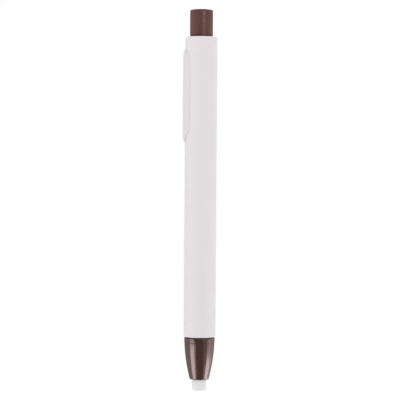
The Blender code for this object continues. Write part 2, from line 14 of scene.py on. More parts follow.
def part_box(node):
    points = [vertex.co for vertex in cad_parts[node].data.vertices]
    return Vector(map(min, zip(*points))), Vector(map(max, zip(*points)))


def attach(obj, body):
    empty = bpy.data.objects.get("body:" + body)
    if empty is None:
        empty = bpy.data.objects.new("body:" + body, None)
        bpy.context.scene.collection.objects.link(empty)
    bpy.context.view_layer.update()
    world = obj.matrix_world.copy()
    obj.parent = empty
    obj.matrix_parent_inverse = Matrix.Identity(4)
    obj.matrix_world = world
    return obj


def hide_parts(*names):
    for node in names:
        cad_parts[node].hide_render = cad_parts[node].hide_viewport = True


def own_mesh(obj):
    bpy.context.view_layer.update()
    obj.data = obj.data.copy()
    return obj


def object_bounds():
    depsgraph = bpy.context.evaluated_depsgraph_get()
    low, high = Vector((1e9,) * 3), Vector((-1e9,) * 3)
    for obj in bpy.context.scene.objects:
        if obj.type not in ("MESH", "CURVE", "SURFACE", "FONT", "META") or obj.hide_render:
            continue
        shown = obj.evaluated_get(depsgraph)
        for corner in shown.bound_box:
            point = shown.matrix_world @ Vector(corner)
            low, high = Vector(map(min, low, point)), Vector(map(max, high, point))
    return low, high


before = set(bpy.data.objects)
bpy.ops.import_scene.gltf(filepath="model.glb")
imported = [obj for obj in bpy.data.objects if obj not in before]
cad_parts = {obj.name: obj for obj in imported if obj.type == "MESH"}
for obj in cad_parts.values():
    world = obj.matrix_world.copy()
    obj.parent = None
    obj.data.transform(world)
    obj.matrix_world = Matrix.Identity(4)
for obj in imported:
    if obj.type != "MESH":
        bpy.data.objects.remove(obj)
CAD_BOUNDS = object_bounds()

MM = 0.001

# The photograph's view of the pen, in pixels of its 400 by 400 frame and in degrees
IMAGE_PIXELS = 400
PEN_END_PIXEL = 390.5         # row of the eraser's end
PEN_TOP_PIXEL = 9.9           # row of the button's top
PEN_AXIS_PIXEL = 200.35       # column of the pen's axis, halfway down the picture
ROLL_DEG = 0.385
VIEW_AZIMUTH = -18.0
VIEW_ELEVATION = 1.5
VIEW_DISTANCE = 0.62
SENSOR = 36.0

# Fineness of the shapes
ROUND_STEPS = 128             # round a turned piece
ERASER_STEPS = 96             # round the eraser
ARC_STEPS = 6                 # in a fillet
SMALL_ARC_STEPS = 4           # in a fillet of the nose or the clip
BULGE_STEPS = 20              # up the nose's side
CLIP_ACROSS_STEPS = 16
CLIP_END_STEPS = 18
CLIP_MIDDLE_STEPS = 24
COIL_STEPS = 24               # in one turn of the spring
WIRE_ROUNDNESS = 3
BEVEL_SEGMENTS = 3
MERGE_DISTANCE = 0.0005 * MM
FILLET_SHARE = 0.49           # the most of a side that one fillet takes
SHARP_DEG = 35.0              # an edge that turns more than this stays sharp
CLIP_SHARP_DEG = 45.0
COIL_SHARP_DEG = 60.0

# Places and sizes read from the frame
BARREL_LOW, BARREL_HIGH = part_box("barrel")
BUTTON_LOW, BUTTON_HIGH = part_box("push_button")
NOSE_LOW, NOSE_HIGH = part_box("nose_cone")
ERASER_LOW, ERASER_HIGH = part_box("eraser_stick")
CLIP_LOW, CLIP_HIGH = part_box("clip")
SPRING_LOW, SPRING_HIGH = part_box("return_spring")
SEAL_LOW, SEAL_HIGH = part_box("tip_friction_ring")
RING_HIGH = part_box("chuck_ring")[1]
TUBE_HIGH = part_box("eraser_tube")[1]

# Clearances
TOUCH_GAP = 0.3 * MM          # between faces that rest on each other
SLIDE_GAP = 0.25 * MM         # round a piece that slides in a bore
FIT_GAP = 0.2 * MM            # round a piece that is plugged in

# Sizes that the frame's boxes don't give
BARREL_EDGE = 1.0 * MM
LIP = 0.15 * MM               # the small rounding that moulded edges have
LEDGE_BORE = 3.55 * MM
SLOT_MARGIN = 0.6 * MM        # from the clip's slot to the barrel's rings round it
BUTTON_EDGE = 0.7 * MM
BUTTON_DOME = 0.25 * MM
BUTTON_FLAT = 2.4 * MM
BUTTON_BLEND = 4.2 * MM       # the wide rounding between its flat and its dome
BUTTON_GROOVE_RAISE = 0.15 * MM
BUTTON_GROOVE_WIDTH = 0.6 * MM
BUTTON_GROOVE_DEPTH = 0.06 * MM
# Height up from the barrel over which the button's foot gets painted shade
BUTTON_PAINTED_SHADE_HEIGHT = 0.9 * MM       # how far up from the barrel its foot is darkened
NOSE_TIP_RADIUS = 3.35 * MM
NOSE_RIM = 0.35 * MM
NOSE_COLLAR = 1.5 * MM
NOSE_SHOULDER_STEP = 0.06 * MM
NOSE_BULGE = 0.36 * MM
NOSE_GROOVE_WIDTH = 0.24 * MM
NOSE_GROOVE_DEPTH = 0.08 * MM
NOSE_GROOVE_EDGE = 0.04 * MM
SPIGOT_WALL = 0.5 * MM
SEAT_DEPTH = 5.0 * MM
ERASER_EDGE = 0.3 * MM
CLIP_WIDTH = 5.3 * MM
CLIP_TOP_WIDTH = 0.3 * MM
CLIP_TIP_WIDTH = 0.2 * MM
CLIP_EDGE_THICKNESS = 0.03 * MM
CLIP_CROWN = 0.8 * MM         # how much it is domed across
CLIP_CROWN_POWER = 2.6        # how flat the dome's middle is
CLIP_TIP_RISE = 0.15 * MM     # how much higher the dome is at the tip
CLIP_TIP_RISE_LENGTH = 5.0 * MM
CLIP_CROWN_ROUND = 0.8 * MM   # over which the dome rises at the top
CLIP_TIP_SLOPE = 1.8 * MM     # over which it slopes down at the tip
CLIP_STAND_OFF = 0.35 * MM
CLIP_EDGE = 0.1 * MM
CLIP_TURN_DOWN = 0.34 * MM    # how far its long edges turn down to the barrel
CLIP_TURN_DOWN_TOP = 0.27 * MM  # and how far at its top, which moves in when it opens
CLIP_TURN_DOWN_POWER = 4      # how close to its edges they turn down
CLIP_TOP_TAPER = 4.3 * MM
CLIP_TIP_TAPER = 4.9 * MM
CLIP_TIP_HOLLOW = 1.4         # how hollow the tip's sides are
CLIP_TIP_CLOSE = 2.5 * MM     # over which the tip's inner side closes down to the barrel
CLIP_TOP_CLOSE = 0.6 * MM     # and over which its top's does
CLIP_PAD_DEPTH = 0.1 * MM
CLIP_PAD_LENGTH = 3.0 * MM
CLIP_PAD_ABOVE_TIP = 5.4 * MM
CLIP_HINGE_BELOW_TOP = 1.2 * MM
FOOT_WIDTH = 1.8 * MM
FOOT_HEIGHT = 3.9 * MM
FOOT_BELOW_CLIP_TOP = 2.2 * MM
SPRING_WIRE = 0.5 * MM
SPRING_TURNS = 14
SPRING_END_TURNS = 1.5
SPRING_END_PITCH = 1.0 * MM

# Radii and heights worked out from these
BARREL_RADIUS = BARREL_HIGH.x
BUTTON_RADIUS = BUTTON_HIGH.x
NOSE_RADIUS = NOSE_HIGH.x
ERASER_RADIUS = ERASER_HIGH.x
REAR_BORE = BUTTON_RADIUS + SLIDE_GAP
SPIGOT_RADIUS = RING_HIGH.x
FRONT_BORE = SPIGOT_RADIUS + TOUCH_GAP
SOCKET_RADIUS = TUBE_HIGH.x + FIT_GAP
SOCKET_CEILING_Z = TUBE_HIGH.z + TOUCH_GAP
LEDGE_FOOT_Z = RING_HIGH.z + TOUCH_GAP
LEDGE_TOP_Z = SPRING_LOW.z - TOUCH_GAP
SHOULDER_Z = BARREL_LOW.z - TOUCH_GAP
NOSE_BORE = ERASER_RADIUS + TOUCH_GAP
SEAT_RADIUS = SEAL_HIGH.x + SLIDE_GAP
SEAT_FLOOR_Z = SEAL_LOW.z - TOUCH_GAP
SEAT_TOP_Z = SEAT_FLOOR_Z + SEAT_DEPTH
CLIP_INNER_RADIUS = BARREL_RADIUS + CLIP_STAND_OFF
FOOT_TOP_Z = CLIP_HIGH.z - FOOT_BELOW_CLIP_TOP
FOOT_BOTTOM_Z = FOOT_TOP_Z - FOOT_HEIGHT
FOOT_INTO_BLADE = CLIP_CROWN / 3

# Colours that are used more than once
WHITE = (1.0, 1.0, 1.0)
ROSY = (1.0, 0.83, 0.84)      # the brown plastics' gloss

# Studio: the camera's reach, the floor and what lights the pen
CAMERA_NEAR = 0.01
CAMERA_FAR = 100.0
FLOOR_Z = -250.0 * MM
FLOOR_SIZE = 1.0
FLOOR_NEAR = 0.16             # from here outwards the floor fades
FLOOR_FAR = 0.34              # into the background
FLOOR_GREY = 0.9
AMBIENT = 0.885               # even light from all round
# How bright a gloss shows the room: (cosine of the angle from the camera's direction, brightness)
ROOM_IN_GLOSS = (
    (-1.0, 1.0), (-0.99, 1.0), (-0.96, 0.28), (-0.88, 0.28), (-0.7, 0.42), (-0.45, 0.58), (-0.1, 0.58),
    (0.5, 0.1))
# Upright panels: (name, degrees round from the camera, distance, width, height of its foot and of its top,
# radiance). The strips show in the gloss alone, and the fills add soft light alone.
STRIPS = (
    ("strip_left", -60.0, 0.35, 0.22, -0.24, -0.06, 3.1),
    ("strip_left_low", -81.0, 0.35, 0.045, -0.24, -0.13, 1.5),
    ("strip_left_high", -60.0, 0.35, 0.22, -0.06, 0.035, 1.6),
    ("strip_left_fade", -36.0, 0.35, 0.075, -0.24, -0.02, 0.8),
    ("strip_right", 85.0, 0.35, 0.25, -0.24, -0.1, 3.1),
    ("strip_right_high", 82.0, 0.35, 0.23, -0.1, 0.02, 0.85),
    ("strip_right_near", 54.0, 0.35, 0.075, -0.24, -0.155, 1.0),
    ("strip_right_far", 118.0, 0.35, 0.15, -0.24, -0.08, 0.7),
    ("glow_right", 47.0, 0.5, 0.25, -0.24, 0.1, 0.25),
    ("wing_right", 125.0, 0.5, 0.3, -0.24, 0.1, 0.35),
    ("line_right", 26.0, 0.5, 0.05, 0.1, 0.3, 8.0))
FILLS = (
    ("fill_left", -60.0, 0.9, 0.6, 0.0, 0.9, 0.9),
    ("fill_right", 85.0, 0.9, 0.6, -0.2, 0.7, 0.7),
    ("fill_front", 5.0, 0.35, 0.3, 0.18, 0.4, 0.55))


# Materials

def new_material(name, colour, roughness, metallic=0.0):
    """A material and its Principled shader."""
    made = bpy.data.materials.new(name)
    made.use_nodes = True
    made.diffuse_color = (*colour, 1.0)
    shader = made.node_tree.nodes["Principled BSDF"]
    shader.inputs["Base Color"].default_value = (*colour, 1.0)
    shader.inputs["Roughness"].default_value = roughness
    shader.inputs["Metallic"].default_value = metallic
    return made, shader


def add_node(tree, kind, **settings):
    node = tree.nodes.new(kind)
    for name, value in settings.items():
        setattr(node, name, value)
    return node


def noise(tree, size, detail, stretch=None):
    """Noise whose grains are about `size` metres wide, read in the piece's own coordinates."""
    place = add_node(tree, "ShaderNodeTexCoord")
    grain = add_node(tree, "ShaderNodeTexNoise")
    grain.inputs["Scale"].default_value = 1.0 / size
    grain.inputs["Detail"].default_value = detail
    source = place.outputs["Object"]
    if stretch:
        mapping = add_node(tree, "ShaderNodeMapping")
        mapping.inputs["Scale"].default_value = stretch
        tree.links.new(source, mapping.inputs["Vector"])
        source = mapping.outputs["Vector"]
    tree.links.new(source, grain.inputs["Vector"])
    return grain.outputs["Fac"]


def spread(tree, source, low, high, start=0.35, end=0.65):
    """Maps a value from start..end to low..high. Where no range is given, it is noise's usual one."""
    ramp = add_node(tree, "ShaderNodeMapRange", clamp=True)
    ramp.inputs["From Min"].default_value = start
    ramp.inputs["From Max"].default_value = end
    ramp.inputs["To Min"].default_value = low
    ramp.inputs["To Max"].default_value = high
    tree.links.new(source, ramp.inputs["Value"])
    return ramp.outputs["Result"]


def vary_colour(tree, shader, source, first, second):
    """Paints the shader with a blend of two colours that follows the source."""
    mix = add_node(tree, "ShaderNodeMix", data_type="RGBA")
    mix.inputs["A"].default_value = (*first, 1.0)
    mix.inputs["B"].default_value = (*second, 1.0)
    tree.links.new(source, mix.inputs["Factor"])
    tree.links.new(mix.outputs["Result"], shader.inputs["Base Color"])
    return mix


def add_bump(tree, shader, heights):
    """Chains bumps: each is (height source, depth in metres, strength)."""
    normal = None
    for source, depth, strength in heights:
        bump = add_node(tree, "ShaderNodeBump")
        bump.inputs["Distance"].default_value = depth
        bump.inputs["Strength"].default_value = strength
        tree.links.new(source, bump.inputs["Height"])
        if normal:
            tree.links.new(normal, bump.inputs["Normal"])
        normal = bump.outputs["Normal"]
    tree.links.new(normal, shader.inputs["Normal"])


def scaled(colour, factor):
    return tuple(part * factor for part in colour)


def paint_shade_at_foot(tree, shader, colour, low, high, darkest):
    """Painted shade where a piece goes into another: darkens its colour from a height down to a lower one.
    """
    place = add_node(tree, "ShaderNodeTexCoord")
    split = add_node(tree, "ShaderNodeSeparateXYZ")
    tree.links.new(place.outputs["Object"], split.inputs["Vector"])
    # Painted shade: the colour is multiplied darker from the higher height down to the lower one
    painted_shade = add_node(tree, "ShaderNodeMix", data_type="RGBA", blend_type="MULTIPLY")
    painted_shade.inputs["Factor"].default_value = 1.0
    tree.links.new(colour, painted_shade.inputs["A"])
    tree.links.new(spread(tree, split.outputs["Z"], darkest, 1.0, low, high), painted_shade.inputs["B"])
    tree.links.new(painted_shade.outputs["Result"], shader.inputs["Base Color"])


def moulded_plastic(
        name, colour, roughness, mottle, depth=0.004 * MM, sheen=0.5, milky=0.0, tint=WHITE, foot=None):
    """Satin moulded plastic: fine spark-eroded grain, a faint mottle, and painted shade at its foot where
    foot is given.
    """
    made, shader = new_material(name, colour, roughness)
    tree = made.node_tree
    shader.inputs["Specular IOR Level"].default_value = sheen
    shader.inputs["Specular Tint"].default_value = (*tint, 1.0)
    shader.inputs["Subsurface Weight"].default_value = milky
    shader.inputs["Subsurface Radius"].default_value = (1.0, 0.92, 0.9)
    shader.inputs["Subsurface Scale"].default_value = 0.5 * MM
    slow = noise(tree, size=9.0 * MM, detail=2.0)
    fine = noise(tree, size=0.25 * MM, detail=4.0)
    mix = vary_colour(tree, shader, slow, scaled(colour, 1.0 - mottle), scaled(colour, 1.0 + mottle))
    # foot gives a band of painted shade at the piece's lower end
    if foot:
        paint_shade_at_foot(tree, shader, mix.outputs["Result"], *foot)
    rough = spread(tree, fine, low=roughness - 0.05, high=roughness + 0.07)
    tree.links.new(rough, shader.inputs["Roughness"])
    add_bump(tree, shader, [(fine, depth, 0.5)])
    return made


def gloss_plastic(name, colour):
    """Polished dark plastic with a rosy gloss and a faint orange-peel ripple."""
    made, shader = new_material(name, colour, roughness=0.2)
    tree = made.node_tree
    shader.inputs["IOR"].default_value = 2.1
    shader.inputs["Specular Tint"].default_value = (*ROSY, 1.0)
    slow = noise(tree, size=4.0 * MM, detail=2.0)
    ripple = noise(tree, size=1.2 * MM, detail=1.0)
    vary_colour(tree, shader, slow, scaled(colour, 0.9), scaled(colour, 1.12))
    tree.links.new(spread(tree, slow, low=0.16, high=0.2), shader.inputs["Roughness"])
    add_bump(tree, shader, [(ripple, 0.006 * MM, 0.25)])
    return made


def eraser_rubber(name, colour):
    """Soft white rubber: powdery, a little see-through at its skin, with fine pits."""
    made, shader = new_material(name, colour, roughness=0.8)
    tree = made.node_tree
    shader.inputs["Subsurface Weight"].default_value = 0.25
    shader.inputs["Subsurface Radius"].default_value = (1.0, 0.9, 0.85)
    shader.inputs["Subsurface Scale"].default_value = 0.6 * MM
    powder = noise(tree, size=0.3 * MM, detail=5.0)
    slow = noise(tree, size=2.5 * MM, detail=2.0)
    vary_colour(tree, shader, slow, scaled(colour, 0.97), scaled(colour, 1.02))
    tree.links.new(spread(tree, powder, low=0.7, high=0.92), shader.inputs["Roughness"])
    add_bump(tree, shader, [(powder, 0.02 * MM, 0.4), (slow, 0.03 * MM, 0.3)])
    return made


def metal(name, colour, roughness, stretch):
    """Turned or drawn metal, with fine marks along one direction."""
    made, shader = new_material(name, colour, roughness, metallic=1.0)
    tree = made.node_tree
    marks = noise(tree, size=0.4 * MM, detail=3.0, stretch=stretch)
    vary_colour(tree, shader, marks, scaled(colour, 0.9), scaled(colour, 1.08))
    rough = spread(tree, marks, low=roughness - 0.08, high=roughness + 0.12)
    tree.links.new(rough, shader.inputs["Roughness"])
    add_bump(tree, shader, [(marks, 0.005 * MM, 0.4)])
    return made


def make_materials():
    """The paints by the names of their slots."""
    return {
        "barrel_white_plastic": moulded_plastic(
            "barrel_white", (0.768, 0.732, 0.745), 0.55, mottle=0.006, sheen=0.25, milky=0.5),
        "clip_white_plastic": moulded_plastic(
            "clip_white", (0.73, 0.703, 0.71), 0.5, mottle=0.006, sheen=0.25),
        # The button's foot gets painted shade, darkest just above the barrel's rim
        "button_brown_plastic": moulded_plastic(
            "button_brown", (0.116, 0.041, 0.0315), 0.38, mottle=0.05, depth=0.006 * MM, sheen=0.8,
            tint=ROSY, foot=(BARREL_HIGH.z + LIP, BARREL_HIGH.z + BUTTON_PAINTED_SHADE_HEIGHT, 0.25)),
        "nose_gloss_brown": gloss_plastic("nose_brown", (0.055, 0.022, 0.012)),
        "eraser_white_rubber": eraser_rubber("eraser_white", (0.77, 0.77, 0.765)),
        "inner_natural_plastic": moulded_plastic("inner_natural", (0.62, 0.63, 0.62), 0.38, mottle=0.02),
        "ring_brass": metal("ring_brass", (0.62, 0.45, 0.18), 0.3, stretch=(1.0, 1.0, 12.0)),
        "spring_steel": metal("spring_steel", (0.55, 0.56, 0.58), 0.28, stretch=(1.0, 1.0, 1.0)),
        "friction_ring_rubber": moulded_plastic("friction_ring", (0.03, 0.03, 0.03), 0.75, mottle=0.1),
    }


# Shapes

def rounded(corners, steps=ARC_STEPS):
    """Outline points (radius, z), with an arc where a corner gives a third value, its fillet radius."""
    points = []
    count = len(corners)
    for index, corner in enumerate(corners):
        here = Vector(corner[:2])
        fillet = corner[2] if len(corner) > 2 else 0.0
        if fillet <= 0.0:
            points.append(here)
            continue
        before = Vector(corners[index - 1][:2]) - here
        after = Vector(corners[(index + 1) % count][:2]) - here
        half_angle = before.angle(after) / 2
        shorter = min(before.length, after.length)
        reach = min(fillet / math.tan(half_angle), FILLET_SHARE * shorter)
        radius = reach * math.tan(half_angle)
        middle = here + (before.normalized() + after.normalized()).normalized() * (
            radius / math.sin(half_angle))
        start = here + before.normalized() * reach - middle
        end = here + after.normalized() * reach - middle
        sweep = math.pi - 2 * half_angle
        turn = 1.0 if start.x * end.y - start.y * end.x > 0.0 else -1.0
        for step in range(steps + 1):
            angle = turn * sweep * step / steps
            points.append(middle + Vector((
                start.x * math.cos(angle) - start.y * math.sin(angle),
                start.x * math.sin(angle) + start.y * math.cos(angle))))
    return [(point.x, point.y) for point in points]


def bulged(start, end, bulge, steps):
    """Points between start and end on an arc that stands out by bulge, towards a larger radius."""
    first = Vector(start)
    last = Vector(end)
    chord = last - first
    outward = Vector((chord.y, -chord.x)).normalized()
    if outward.x < 0.0:
        outward.negate()
    half = chord.length / 2
    radius = (half * half + bulge * bulge) / (2 * bulge)
    centre = (first + last) / 2 - outward * (radius - bulge)
    spread_angle = math.asin(half / radius)
    along = chord.normalized()
    points = []
    for step in range(1, steps):
        angle = spread_angle * (2 * step / steps - 1)
        point = centre + outward * (radius * math.cos(angle)) + along * (radius * math.sin(angle))
        points.append((point.x, point.y))
    return points


def add_object(name, data):
    made = bpy.data.objects.new(name, data)
    bpy.context.scene.collection.objects.link(made)
    return made


def smooth(mesh, sharp_deg):
    mesh.shade_smooth()
    mesh.set_sharp_from_angle(angle=math.radians(sharp_deg))


def evaluated_mesh(piece):
    """New mesh of a piece as its modifiers, or its curve's thickness, make it."""
    bpy.context.view_layer.update()
    graph = bpy.context.evaluated_depsgraph_get()
    return bpy.data.meshes.new_from_object(piece.evaluated_get(graph))


def finish_mesh(work, name, paint, sharp_deg=SHARP_DEG):
    """Turns a bmesh into a smooth, painted piece."""
    bmesh.ops.remove_doubles(work, verts=work.verts, dist=MERGE_DISTANCE)
    bmesh.ops.recalc_face_normals(work, faces=work.faces)
    mesh = bpy.data.meshes.new(name)
    work.to_mesh(mesh)
    work.free()
    smooth(mesh, sharp_deg)
    mesh.materials.append(paint)
    return add_object(name, mesh)


def turned(name, outline, paint, steps=ROUND_STEPS):
    """Spins a closed outline of (radius, z) points all round the Z axis."""
    work = bmesh.new()
    ring = [work.verts.new((radius, 0.0, height)) for radius, height in outline]
    edges = [work.edges.new((ring[index - 1], ring[index])) for index in range(len(ring))]
    bmesh.ops.spin(
        work, geom=ring + edges, cent=(0, 0, 0), axis=(0, 0, 1), angle=2 * math.pi, steps=steps,
        use_merge=True, use_duplicate=False)
    return finish_mesh(work, name, paint)


def box_piece(name, low, high, bevel=0.0):
    """Box between two corners, to cut or to join with."""
    work = bmesh.new()
    bmesh.ops.create_cube(work, size=1.0)
    size = Vector(high) - Vector(low)
    bmesh.ops.scale(work, vec=size, verts=work.verts)
    bmesh.ops.translate(work, vec=(Vector(high) + Vector(low)) / 2, verts=work.verts)
    if bevel:
        bmesh.ops.bevel(
            work, geom=work.edges[:], offset=bevel, segments=BEVEL_SEGMENTS, profile=0.5, affect="EDGES")
    mesh = bpy.data.meshes.new(name)
    work.to_mesh(mesh)
    work.free()
    return add_object(name, mesh)


def combine(piece, other, operation, sharp_deg=SHARP_DEG):
    """Applies a Boolean with another shape, which is then deleted."""
    step = piece.modifiers.new("shape", "BOOLEAN")
    step.operation = operation
    step.solver = "EXACT"
    step.object = other
    mesh = evaluated_mesh(piece)
    piece.modifiers.clear()
    piece.data = mesh
    bpy.data.objects.remove(other)
    smooth(mesh, sharp_deg)


def dress(piece, body, node):
    """Puts a piece in the place of a CAD node, on its body."""
    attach(piece, body)
    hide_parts(node)


def make_barrel(paint):
    """White tube with a rounded top edge; extra rings keep the slot's cut away from the long faces."""
    slot_top = FOOT_TOP_Z + SLIDE_GAP
    slot_foot = FOOT_BOTTOM_Z - SLIDE_GAP
    outline = rounded([
        (FRONT_BORE, BARREL_LOW.z, LIP / 2),
        (BARREL_RADIUS, BARREL_LOW.z, LIP),
        (BARREL_RADIUS, slot_foot - SLOT_MARGIN),
        (BARREL_RADIUS, slot_top + SLOT_MARGIN),
        (BARREL_RADIUS, BARREL_HIGH.z, BARREL_EDGE),
        (REAR_BORE, BARREL_HIGH.z, LIP),
        (REAR_BORE, slot_top + SLOT_MARGIN),
        (REAR_BORE, slot_foot - SLOT_MARGIN),
        (REAR_BORE, LEDGE_TOP_Z),
        (LEDGE_BORE, LEDGE_TOP_Z),
        (LEDGE_BORE, LEDGE_FOOT_Z),
        (FRONT_BORE, LEDGE_FOOT_Z)])
    barrel = turned("barrel_shell", outline, paint)
    slot = box_piece(
        "slot_cutter",
        (-2 * BARREL_RADIUS, -FOOT_WIDTH / 2 - SLIDE_GAP, slot_foot),
        (-REAR_BORE / 2, FOOT_WIDTH / 2 + SLIDE_GAP, slot_top))
    combine(barrel, slot, "DIFFERENCE")
    dress(barrel, "barrel_body", "barrel")


def make_button(paint):
    """Brown cap with a shallow dome, a groove where it leaves the barrel and a socket for the tube."""
    dome_z = BUTTON_HIGH.z - BUTTON_DOME
    groove_foot_z = BARREL_HIGH.z + BUTTON_GROOVE_RAISE
    groove_radius = BUTTON_RADIUS - BUTTON_GROOVE_DEPTH
    outline = rounded([
        (0.0, SOCKET_CEILING_Z),
        (SOCKET_RADIUS, SOCKET_CEILING_Z, LIP),
        (SOCKET_RADIUS, BUTTON_LOW.z, LIP),
        (BUTTON_RADIUS, BUTTON_LOW.z, LIP),
        (BUTTON_RADIUS, groove_foot_z, LIP / 2),
        (groove_radius, groove_foot_z),
        (groove_radius, groove_foot_z + BUTTON_GROOVE_WIDTH),
        (BUTTON_RADIUS, groove_foot_z + BUTTON_GROOVE_WIDTH, LIP / 2),
        (BUTTON_RADIUS, dome_z - BUTTON_EDGE / 2, BUTTON_EDGE),
        (BUTTON_RADIUS - BUTTON_EDGE / 4, dome_z, BUTTON_EDGE),
        (BUTTON_FLAT, BUTTON_HIGH.z, BUTTON_BLEND),
        (0.0, BUTTON_HIGH.z)])
    button = turned("button_cap", outline, paint)
    dress(button, "plunger", "push_button")


def make_nose(paint):
    """Cone with a swelling side, a hair groove below its collar, and a spigot inside the barrel."""
    side_top_z = SHOULDER_Z - NOSE_COLLAR - NOSE_GROOVE_WIDTH
    side_radius = NOSE_RADIUS - NOSE_SHOULDER_STEP
    side_foot = (NOSE_TIP_RADIUS + NOSE_RIM / 4, NOSE_LOW.z + NOSE_RIM)
    side_top = (side_radius, side_top_z)
    groove_radius = side_radius - NOSE_GROOVE_DEPTH
    corners = [
        (NOSE_BORE, NOSE_LOW.z, NOSE_RIM / 3),
        (NOSE_TIP_RADIUS, NOSE_LOW.z, NOSE_RIM),
        side_foot]
    corners += bulged(side_foot, side_top, NOSE_BULGE, BULGE_STEPS)
    corners += [
        (*side_top, NOSE_GROOVE_EDGE),
        (groove_radius, side_top_z + NOSE_GROOVE_WIDTH / 3, NOSE_GROOVE_EDGE),
        (groove_radius, side_top_z + NOSE_GROOVE_WIDTH * 2 / 3, NOSE_GROOVE_EDGE),
        (NOSE_RADIUS, side_top_z + NOSE_GROOVE_WIDTH, NOSE_GROOVE_EDGE),
        (NOSE_RADIUS, SHOULDER_Z, LIP),
        (SPIGOT_RADIUS, SHOULDER_Z),
        (SPIGOT_RADIUS, NOSE_HIGH.z, LIP),
        (SPIGOT_RADIUS - SPIGOT_WALL, NOSE_HIGH.z, LIP),
        (SPIGOT_RADIUS - SPIGOT_WALL, SEAT_TOP_Z),
        (SEAT_RADIUS, SEAT_TOP_Z),
        (SEAT_RADIUS, SEAT_FLOOR_Z),
        (NOSE_BORE, SEAT_FLOOR_Z)]
    nose = turned("nose_shell", rounded(corners, SMALL_ARC_STEPS), paint)
    dress(nose, "barrel_body", "nose_cone")


def make_eraser(paint):
    """White round refill with softened ends."""
    outline = rounded([
        (0.0, ERASER_LOW.z),
        (ERASER_RADIUS, ERASER_LOW.z, ERASER_EDGE),
        (ERASER_RADIUS, ERASER_HIGH.z, ERASER_EDGE),
        (0.0, ERASER_HIGH.z)])
    eraser = turned("eraser_refill", outline, paint, ERASER_STEPS)
    dress(eraser, "eraser", "eraser_stick")


def ellipse_share(distance, length):
    """Goes from 0 at an end to 1 once distance reaches length, along a quarter of an ellipse."""
    share = min(max(distance / length, 0.0), 1.0)
    return math.sqrt(max(0.0, 1.0 - (1.0 - share) ** 2))


def sine_share(distance, length):
    """Goes from 0 at an end to 1 once distance reaches length, along a quarter of a sine wave."""
    return math.sin(math.pi / 2 * min(1.0, distance / length))


def on_arc(radius, angle):
    """Point (x, y) on a circle round the pen's axis, with angle 0 in the middle of the clip."""
    return (-radius * math.cos(angle), radius * math.sin(angle))


def wave(distance, length):
    """Falls smoothly from 1 where distance is 0 to 0 once it reaches length."""
    return (1.0 + math.cos(math.pi * min(1.0, abs(distance) / length))) / 2


def clip_section(height):
    """Closed outline (x, y) of the clip's blade at a height: domed outside, turned down at its edges."""
    from_top = CLIP_HIGH.z - height
    from_tip = height - CLIP_LOW.z
    top_share = sine_share(from_top, CLIP_TOP_TAPER)
    tip_share = min(1.0, from_tip / CLIP_TIP_TAPER) ** CLIP_TIP_HOLLOW
    half_width = min(
        CLIP_TOP_WIDTH + (CLIP_WIDTH - CLIP_TOP_WIDTH) * top_share,
        CLIP_TIP_WIDTH + (CLIP_WIDTH - CLIP_TIP_WIDTH) * tip_share) / 2
    rise = CLIP_CROWN + CLIP_TIP_RISE * wave(from_tip, CLIP_TIP_RISE_LENGTH)
    crown = rise * min(
        ellipse_share(from_top, CLIP_CROWN_ROUND),
        sine_share(from_tip, CLIP_TIP_SLOPE))
    turn_share = min(1.0, from_top / CLIP_HINGE_BELOW_TOP)
    turn_down = CLIP_TURN_DOWN_TOP + (CLIP_TURN_DOWN - CLIP_TURN_DOWN_TOP) * turn_share
    pad_depth = CLIP_PAD_DEPTH * wave(from_tip - CLIP_PAD_ABOVE_TIP, CLIP_PAD_LENGTH)
    outer = CLIP_INNER_RADIUS - turn_down + CLIP_EDGE_THICKNESS
    side_angle = math.asin(half_width / outer)
    closed = max(wave(from_tip, CLIP_TIP_CLOSE), wave(from_top, CLIP_TOP_CLOSE))
    corners = []
    for step in range(CLIP_ACROSS_STEPS + 1):
        side = -math.cos(math.pi * step / CLIP_ACROSS_STEPS)
        turned_down = turn_down * max(side ** CLIP_TURN_DOWN_POWER, closed)
        corners.append(on_arc(CLIP_INNER_RADIUS - max(pad_depth, turned_down), side_angle * side))
    for step in range(CLIP_ACROSS_STEPS + 1):
        side = math.cos(math.pi * step / CLIP_ACROSS_STEPS)
        fillet = CLIP_EDGE if step in (0, CLIP_ACROSS_STEPS) else 0.0
        dome = crown * (1.0 - abs(side) ** CLIP_CROWN_POWER)
        corners.append((*on_arc(outer + dome, side_angle * side), fillet))
    return rounded(corners, SMALL_ARC_STEPS)


def clip_heights():
    """Heights of the clip's sections, close together at its rounded ends."""
    heights = []
    for step in range(CLIP_END_STEPS + 1):
        fall = 1.0 - math.cos(math.pi / 2 * step / CLIP_END_STEPS)
        heights.append(CLIP_LOW.z + CLIP_TIP_TAPER * fall)
        heights.append(CLIP_HIGH.z - CLIP_TOP_TAPER * fall)
    low = CLIP_LOW.z + CLIP_TIP_TAPER
    high = CLIP_HIGH.z - CLIP_TOP_TAPER
    heights += [low + (high - low) * step / CLIP_MIDDLE_STEPS for step in range(1, CLIP_MIDDLE_STEPS)]
    return sorted(heights)


def make_clip(paint):
    """White blade built up from its sections, joined to the foot that goes through the barrel's slot."""
    work = bmesh.new()
    rings = []
    for height in clip_heights():
        rings.append([work.verts.new((x, y, height)) for x, y in clip_section(height)])
    for lower, upper in zip(rings, rings[1:]):
        for index in range(len(lower)):
            work.faces.new((lower[index - 1], lower[index], upper[index], upper[index - 1]))
    work.faces.new(rings[0])
    work.faces.new(rings[-1])
    clip = finish_mesh(work, "clip_blade", paint, CLIP_SHARP_DEG)
    foot = box_piece(
        "clip_foot",
        (-(CLIP_INNER_RADIUS + FOOT_INTO_BLADE), -FOOT_WIDTH / 2, FOOT_BOTTOM_Z),
        (CLIP_HIGH.x, FOOT_WIDTH / 2, FOOT_TOP_Z), LIP)
    combine(clip, foot, "UNION", CLIP_SHARP_DEG)
    dress(clip, "pocket_clip_body", "clip")


